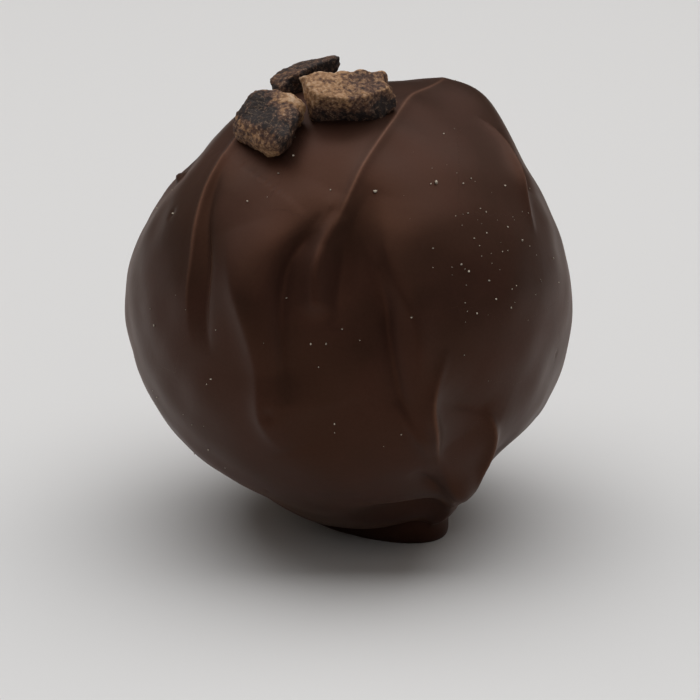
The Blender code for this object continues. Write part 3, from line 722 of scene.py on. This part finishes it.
def nib_material(colours):
    """Roasted cocoa bean, broken: near-black waxy breaks, brown flesh, a dry pale crust and pale
    granules of dust, by the tone that each piece carries. The tone is also paler on crags that
    stand up, paler along edges as a painted highlight, and darker low down as painted shade."""
    made, tree, shader = new_material("roasted_cocoa_nib")
    place = add_node(tree, "ShaderNodeTexCoord").outputs["Object"]
    tone = add_node(tree, "ShaderNodeAttribute", attribute_name="tone")
    # Pits of about 0.3 mm are darker, and granules of about 0.1 mm stand out pale.
    pit_size, granule_size, granule_height = 0.28 * MM, 0.1 * MM, 0.06 * MM
    grain = add_node(tree, "ShaderNodeTexNoise", {"Vector": place, "Scale": 1 / granule_size,
                                                  "Detail": 2.0})
    pits = add_node(tree, "ShaderNodeTexNoise", {"Vector": place, "Scale": 1 / pit_size, "Detail": 2.0})
    darker = add_node(tree, "ShaderNodeMapRange", {"Value": pits.outputs["Fac"], FROM_LOW: 0.3,
                                                   FROM_HIGH: 0.6, TO_LOW: -0.25, TO_HIGH: 0.1})
    total = add_node(tree, "ShaderNodeMath", {0: tone.outputs["Fac"], 1: darker.outputs[0]},
                     operation="ADD")
    ramp = add_node(tree, "ShaderNodeValToRGB", {0: total.outputs[0]})
    stops = ramp.color_ramp.elements
    stops[0].position, stops[0].color = 0.05, (*colours.nib_dark, 1.0)
    stops[1].position, stops[1].color = 1.0, (*colours.nib_pale, 1.0)
    for position, colour in ((0.35, colours.nib_brown), (0.65, colours.nib_tan)):
        stops.new(position).color = (*colour, 1.0)
    # The granules lie in clumps between the pits.
    spots = add_node(tree, "ShaderNodeMapRange", {"Value": grain.outputs["Fac"],
                                                  FROM_LOW: 0.48, FROM_HIGH: 0.7})
    crowds = add_node(tree, "ShaderNodeMapRange", {"Value": pits.outputs["Fac"], FROM_LOW: 0.42,
                                                   FROM_HIGH: 0.62, TO_LOW: 0.0, TO_HIGH: 0.6})
    clumped = add_node(tree, "ShaderNodeMath", {0: spots.outputs[0], 1: crowds.outputs[0]},
                       operation="MULTIPLY")
    # A dark break sheds most of them.
    kept = add_node(tree, "ShaderNodeMapRange", {"Value": tone.outputs["Fac"], FROM_LOW: 0.0,
                                                 FROM_HIGH: 0.6, TO_LOW: 0.4, TO_HIGH: 1.0})
    granules = add_node(tree, "ShaderNodeMath", {0: clumped.outputs[0], 1: kept.outputs[0]},
                        operation="MULTIPLY")
    final = add_node(tree, "ShaderNodeMix", {MIX_SHARE: granules.outputs[0], MIX_UNDER: ramp.outputs[0],
                                             MIX_OVER: (*colours.nib_pale, 1.0)}, data_type="RGBA")
    bump = add_node(tree, "ShaderNodeBump", {"Height": grain.outputs["Fac"], "Strength": 0.7,
                                             "Distance": granule_height})
    tree.links.new(final.outputs[MIXED], shader.inputs["Base Color"])
    tree.links.new(bump.outputs[0], shader.inputs["Normal"])
    shader.inputs["Roughness"].default_value = 0.75
    shader.inputs["Specular IOR Level"].default_value = 0.35
    return made


def crumb_material(colours):
    """Dry crumbs of nib and husk: pale, matt and a little uneven from one to the next."""
    made, tree, shader = new_material("nib_crumbs")
    place = add_node(tree, "ShaderNodeTexCoord").outputs["Object"]
    # The tone changes over about 0.6 mm, more than a crumb's own size.
    tone_size = 0.6 * MM
    tone = add_node(tree, "ShaderNodeTexNoise", {"Vector": place, "Scale": 1 / tone_size})
    shade = add_node(tree, "ShaderNodeMapRange", {"Value": tone.outputs["Fac"], FROM_LOW: 0.35,
                                                  FROM_HIGH: 0.65, TO_LOW: 0.35, TO_HIGH: 1.0})
    final = add_node(tree, "ShaderNodeMix", {MIX_SHARE: 1.0, MIX_UNDER: (*colours.crumb, 1.0),
                                             MIX_OVER: shade.outputs[0]},
                     data_type="RGBA", blend_type="MULTIPLY")
    tree.links.new(final.outputs[MIXED], shader.inputs["Base Color"])
    shader.inputs["Roughness"].default_value = 0.85
    shader.inputs["Specular IOR Level"].default_value = 0.2
    return made


class PRALINE_OT_coat(bpy.types.Operator):
    """Build the chocolate coat with its lobes, folds, creases and foot"""
    bl_idname = "praline.coat"
    bl_label = "Chocolate coat"

    def execute(self, context):
        form, colours = context.scene.praline_form, context.scene.praline_colours
        directions, faces = globe(COAT_COLUMNS, COAT_ROWS)
        directions = bent_to_foot(form, directions)
        radius, crest, beside = coat_radius(form, directions)
        points = ball_centre(form) + directions * radius[:, None]
        # The crest values carry the painted highlight line along the crests.
        coat = add_piece("coat_shell", points, faces, chocolate_material(colours), "dark_chocolate",
                         crest=crest, beside_crest=beside)
        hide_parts("coat")
        return {"FINISHED"}


class PRALINE_OT_nibs(bpy.types.Operator):
    """Build the three cocoa nibs, pressed into the top of the coat"""
    bl_idname = "praline.nibs"
    bl_label = "Cocoa nibs"

    def execute(self, context):
        form, colours = context.scene.praline_form, context.scene.praline_colours
        centre, ball = ball_centre(form), form.ball_diameter / MM / 2
        directions, faces = globe(NIB_COLUMNS, NIB_ROWS)
        surface = nib_material(colours)
        for nib in NIBS:
            middle = direction(nib.lon, nib.lat) * (ball + nib.lift)
            radius, tone = nib_radius(nib, directions)
            points = middle + directions * radius[:, None]
            distance = np.linalg.norm(points, axis=1)
            outward = points / distance[:, None]
            seat = coat_radius(form, outward)[0] - NIB_SINK
            points = centre + outward * np.maximum(distance, seat)[:, None]
            piece = add_piece(nib.name + "_crust", points, faces, surface, nib.name, tone=tone)
            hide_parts(nib.name)
        return {"FINISHED"}


def grain_ball():
    """The 12 corners and 20 faces of an icosahedron of radius 1: its corners are (0, 1,
    golden ratio) with every sign and in all three turns, and a face joins three of them
    that are one edge apart."""
    golden = (1 + 5**0.5) / 2
    corners = np.array([(0, s, t * golden) for s in (-1, 1) for t in (-1, 1)])
    corners = np.concatenate([corners, np.roll(corners, 1, 1), np.roll(corners, 2, 1)])
    corners = corners / np.linalg.norm([1, golden])
    gaps = np.linalg.norm(corners[:, None] - corners, axis=2)
    over_an_edge = gaps[gaps > 0.1].min() * 1.01
    faces = [(a, b, c) for a in range(12) for b in range(a + 1, 12) for c in range(b + 1, 12)
             if max(gaps[a, b], gaps[b, c], gaps[a, c]) < over_an_edge]
    outward = [np.linalg.det(corners[list(face)]) > 0 for face in faces]
    return corners, [(a, b, c) if out else (a, c, b) for (a, b, c), out in zip(faces, outward)]


class PRALINE_OT_crumbs(bpy.types.Operator):
    """Scatter fine crumbs of nib over the coat, as one piece"""
    bl_idname = "praline.crumbs"
    bl_label = "Crumbs"

    def execute(self, context):
        scene = context.scene
        form, fine = scene.praline_form, scene.praline_crumbs
        random = np.random.default_rng(CRUMB_SEED)
        dome = [random.normal(middle, reach, fine.dome_count) for middle, reach in DOME_CRUMBS]
        height = random.uniform(*SPREAD_HEIGHTS, fine.spread_count)
        spread = [random.uniform(-180, 180, fine.spread_count), np.degrees(np.arcsin(height))]
        # Most are near the smallest size: the range is filled by the square of an even draw.
        sizes = random.uniform(0, 1, fine.dome_count + fine.spread_count)**2
        size = (fine.smallest + (fine.largest - fine.smallest) * sizes) / MM
        places = np.concatenate([np.array(CRUMBS)[:, :2], np.transpose(dome), np.transpose(spread)])
        size = np.concatenate([np.array(CRUMBS)[:, 2], size])
        outward = direction(places[:, 0], places[:, 1])
        middle = outward * (coat_radius(form, outward)[0] + CRUMB_LIFT * size)[:, None]
        corners, faces = grain_ball()
        count = len(size)
        worn = corners * random.uniform(*CRUMB_WEAR, (count, len(corners), 1))
        shape = worn * random.uniform(*CRUMB_SQUASH, (count, 1, 3))
        points = ball_centre(form) + (middle[:, None] + shape * size[:, None, None] / 2).reshape(-1, 3)
        faces = np.array(faces) + len(corners) * np.arange(count)[:, None, None]
        faces = faces.reshape(-1, 3).tolist()
        add_piece("crumbs", points, faces, crumb_material(scene.praline_colours), "nib_right")
        return {"FINISHED"}


def floor_material(stage):
    """Matt painted board, with faint clouds in its tone."""
    made, tree, shader = new_material("matt_floor")
    place = add_node(tree, "ShaderNodeTexCoord").outputs["Object"]
    # Clouds of about an eighth of a metre.
    tone = add_node(tree, "ShaderNodeTexNoise", {"Vector": place, "Scale": 8.0})
    shade = add_node(tree, "ShaderNodeMapRange", {"Value": tone.outputs["Fac"], TO_LOW: 0.98, TO_HIGH: 1.0})
    final = add_node(tree, "ShaderNodeMix", {MIX_SHARE: 1.0, MIX_UNDER: (*stage.floor_colour, 1.0),
                                             MIX_OVER: shade.outputs[0]},
                     data_type="RGBA", blend_type="MULTIPLY")
    tree.links.new(final.outputs[MIXED], shader.inputs["Base Color"])
    shader.inputs["Roughness"].default_value = 0.9
    return made


def add_softbox(name, place, size, brightness, target):
    """A rectangular light at a place, facing the target. Its power is pi times its area times
    its brightness, so a large box is as bright to look at as a small one."""
    light = bpy.data.lights.new(name, "AREA")
    light.shape = "RECTANGLE"
    light.size, light.size_y = size
    light.energy = np.pi * size[0] * size[1] * brightness
    box = bpy.data.objects.new(name, light)
    box.location = place
    box.rotation_euler = (Vector(target) - Vector(place)).to_track_quat("-Z", "Y").to_euler()
    bpy.context.scene.collection.objects.link(box)
    return box


class PRALINE_OT_stage(bpy.types.Operator):
    """Set out the pale floor, the soft studio light and the camera"""
    bl_idname = "praline.stage"
    bl_label = "Floor, light and camera"

    def execute(self, context):
        scene, stage = context.scene, context.scene.praline_stage
        centre = ball_centre(scene.praline_form) * MM
        bpy.ops.mesh.primitive_plane_add(size=FLOOR_SIZE, location=(0.0, 0.0, cad_box[0][2]))
        floor = context.object
        floor.name = "floor"
        floor.data.materials.append(floor_material(stage))
        add_softbox("overhead", *OVERHEAD_BOX, stage.overhead, centre)
        add_softbox("front_box", *FRONT_BOX, stage.front, centre)
        for name, box in (("left_box", LEFT_BOX), ("right_box", RIGHT_BOX)):
            add_softbox(name, *box, stage.sides, centre).data.color = stage.side_colour
        world = bpy.data.worlds.new("room")
        world.use_nodes = True
        world.node_tree.nodes["Background"].inputs["Color"].default_value = (*stage.room_colour, 1.0)
        world.node_tree.nodes["Background"].inputs["Strength"].default_value = stage.room
        scene.world = world
        scene.view_settings.view_transform = "Standard"
        tilt = stage.camera_height
        back = Vector((0.0, -np.cos(tilt), np.sin(tilt)))
        up = Vector((0.0, np.sin(tilt), np.cos(tilt)))
        camera = bpy.data.objects.new("camera", bpy.data.cameras.new("camera"))
        camera.data.lens = stage.lens
        camera.data.clip_start = 0.01
        # A sensor sees its own width at a distance of one focal length.
        aim = Vector(centre) - up * VIEW_DROP * MM
        camera.location = aim + back * VIEW_WIDTH * MM * stage.lens / camera.data.sensor_width
        camera.rotation_euler = (-back).to_track_quat("-Z", "Y").to_euler()
        scene.collection.objects.link(camera)
        scene.camera = camera
        return {"FINISHED"}


class PRALINE_PT_sidebar(bpy.types.Panel):
    """The praline's values and the steps that build it"""
    bl_idname = "PRALINE_PT_sidebar"
    bl_label = "Nougat praline"
    bl_space_type = "VIEW_3D"
    bl_region_type = "UI"
    bl_category = "Praline"

    def draw(self, context):
        for key, group in SETTINGS:
            box = self.layout.box()
            for name in group.__annotations__:
                box.prop(getattr(context.scene, key), name)
        for step in OPERATORS:
            self.layout.operator(step.bl_idname)


SETTINGS = (
    ("praline_form", PralineForm),
    ("praline_colours", PralineColours),
    ("praline_crumbs", PralineCrumbs),
    ("praline_stage", PralineStage),
)
OPERATORS = (PRALINE_OT_coat, PRALINE_OT_nibs, PRALINE_OT_crumbs, PRALINE_OT_stage)


def register():
    for key, group in SETTINGS:
        bpy.utils.register_class(group)
        setattr(bpy.types.Scene, key, bpy.props.PointerProperty(type=group))
    for made in (*OPERATORS, PRALINE_PT_sidebar):
        bpy.utils.register_class(made)


def unregister():
    for made in (PRALINE_PT_sidebar, *reversed(OPERATORS)):
        bpy.utils.unregister_class(made)
    for key, group in reversed(SETTINGS):
        delattr(bpy.types.Scene, key)
        bpy.utils.unregister_class(group)


def main():
    register()
    bpy.ops.praline.coat()
    bpy.ops.praline.nibs()
    bpy.ops.praline.crumbs()
    bpy.ops.praline.stage()


if __name__ == "__main__":
    main()
